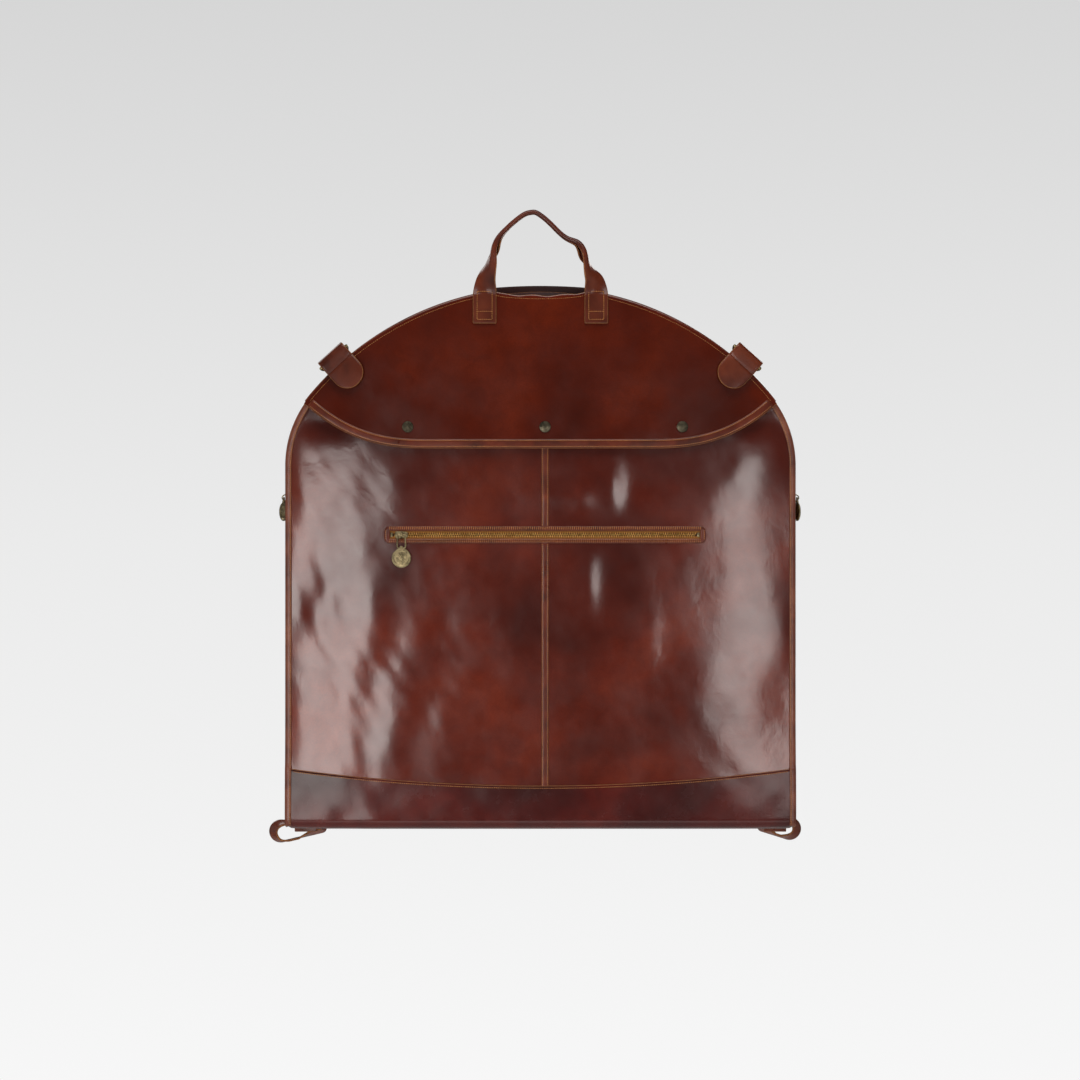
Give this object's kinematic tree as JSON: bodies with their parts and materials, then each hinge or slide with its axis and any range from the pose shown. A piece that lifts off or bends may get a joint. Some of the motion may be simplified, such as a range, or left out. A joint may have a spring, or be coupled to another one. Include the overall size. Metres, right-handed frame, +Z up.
{
  "type": "garment bag",
  "caption": "Leather garment bag with an arched top, folded in half for carrying, with a flap pocket, zip pocket, carrying handle, hanger opening, ring tabs and corner loops.",
  "frame": {"origin": "middle of the hanger hook opening, level with the top of the arch", "axes": "+Z up as the bag hangs, +X to the right seen from the front, and the front faces -Y"},
  "size_m": [0.596, 0.0958, 0.699],
  "materials": {
    "panel_leather": "polished oxblood",
    "edge_leather": "stitched red-brown",
    "strap_leather": "polished oxblood",
    "lining": "twill",
    "old_brass": "antiqued",
    "zip_brass": "satin"
  },
  "bodies": {
    "front_half": {"front_panel_left": "panel_leather", "front_panel_right": "panel_leather", "front_seam_strip": "edge_leather", "bottom_band_front": "panel_leather", "edge_binding_left": "edge_leather", "edge_binding_right": "edge_leather", "arch_binding": "edge_leather", "yoke": "panel_leather", "gusset_left": "panel_leather", "gusset_right": "panel_leather", "pocket_back_wall": "lining", "inner_wall_front": "panel_leather", "snap_studs": "old_brass", "pocket_zip_welt": "panel_leather", "pocket_zip_tapes": "lining", "pocket_zip_chain": "zip_brass", "pocket_zip_stops": "zip_brass", "zip_pocket_pouch": "lining", "handle_foot_left": "strap_leather", "handle_foot_right": "strap_leather", "ring_tab_left": "strap_leather", "ring_tab_right": "strap_leather", "side_zip_front_left": "zip_brass", "side_zip_front_right": "zip_brass", "main_zip_tapes": "lining", "main_zip_chain": "zip_brass"},
    "flap": {"flap_lip": "panel_leather", "flap_edge_strip": "edge_leather", "snap_caps": "old_brass", "snap_sockets": "old_brass"},
    "handle": {"handle_strap": "strap_leather", "handle_core": "edge_leather"},
    "d_ring_left": {"ring_left": "old_brass"},
    "d_ring_right": {"ring_right": "old_brass"},
    "pocket_slider": {"pocket_zip_slider": "old_brass"},
    "pocket_pull": {"pocket_zip_pull": "old_brass"},
    "main_slider": {"main_zip_slider": "old_brass"},
    "main_pull": {"main_zip_pull": "old_brass"},
    "side_slider_left": {"side_zip_slider_left": "old_brass"},
    "side_slider_right": {"side_zip_slider_right": "old_brass"},
    "side_pull_left": {"side_zip_pull_left": "old_brass"},
    "side_pull_right": {"side_zip_pull_right": "old_brass"},
    "rear_half": {"rear_panel": "panel_leather", "rear_inner_wall": "panel_leather", "bottom_band_rear": "panel_leather", "rear_binding": "edge_leather", "rear_gusset_left": "panel_leather", "rear_gusset_right": "panel_leather", "rear_gusset_top": "panel_leather", "side_zip_rear_left": "zip_brass", "side_zip_rear_right": "zip_brass", "corner_loop_left": "strap_leather", "corner_loop_right": "strap_leather", "loop_tab_left": "strap_leather", "loop_tab_right": "strap_leather", "loop_rivets": "old_brass"}
  },
  "joints": [
    {"name": "fold", "type": "hinge", "parent": "front_half", "child": "rear_half", "pos_m": [0, 0.0128, -0.5942], "axis": [-1, 0, 0], "range_deg": [0, 180]},
    {"name": "flap_lift", "type": "hinge", "parent": "front_half", "child": "flap", "pos_m": [0, -0.0254, -0.128], "axis": [-1, 0, 0], "range_deg": [0, 100]},
    {"name": "handle_swing", "type": "hinge", "parent": "front_half", "child": "handle", "pos_m": [0, -0.0266, -0.002], "axis": [1, 0, 0], "range_deg": [-75, 110]},
    {"name": "ring_swing_left", "type": "hinge", "parent": "front_half", "child": "d_ring_left", "pos_m": [-0.22617, -0.0234, -0.07682], "axis": [0.7431, 0, 0.6691], "range_deg": [0, 200]},
    {"name": "ring_swing_right", "type": "hinge", "parent": "front_half", "child": "d_ring_right", "pos_m": [0.22617, -0.0234, -0.07682], "axis": [0.7431, 0, -0.6691], "range_deg": [0, 200]},
    {"name": "pocket_zip_slide", "type": "slide", "parent": "front_half", "child": "pocket_slider", "axis": [1, 0, 0], "range_m": [0, 0.314]},
    {"name": "pocket_pull_swing", "type": "hinge", "parent": "pocket_slider", "child": "pocket_pull", "pos_m": [-0.152, -0.0247, -0.271], "axis": [-1, 0, 0], "range_deg": [0, 170]},
    {"name": "main_zip_slide", "type": "slide", "parent": "front_half", "child": "main_slider", "axis": [0, 0, -1], "range_m": [0, 0.445]},
    {"name": "main_pull_swing", "type": "hinge", "parent": "main_slider", "child": "main_pull", "pos_m": [0, 0.0122, -0.064], "axis": [1, 0, 0], "range_deg": [0, 165]},
    {"name": "side_zip_slide_left", "type": "slide", "parent": "front_half", "child": "side_slider_left", "axis": [0, 0, -1], "range_m": [0, 0.32]},
    {"name": "side_pull_swing_left", "type": "hinge", "parent": "side_slider_left", "child": "side_pull_left", "pos_m": [-0.2835, 0.0128, -0.23], "axis": [0, 1, 0], "range_deg": [0, 165]},
    {"name": "side_zip_slide_right", "type": "slide", "parent": "front_half", "child": "side_slider_right", "axis": [0, 0, -1], "range_m": [0, 0.32]},
    {"name": "side_pull_swing_right", "type": "hinge", "parent": "side_slider_right", "child": "side_pull_right", "pos_m": [0.2835, 0.0128, -0.23], "axis": [0, -1, 0], "range_deg": [0, 165]}
  ]
}
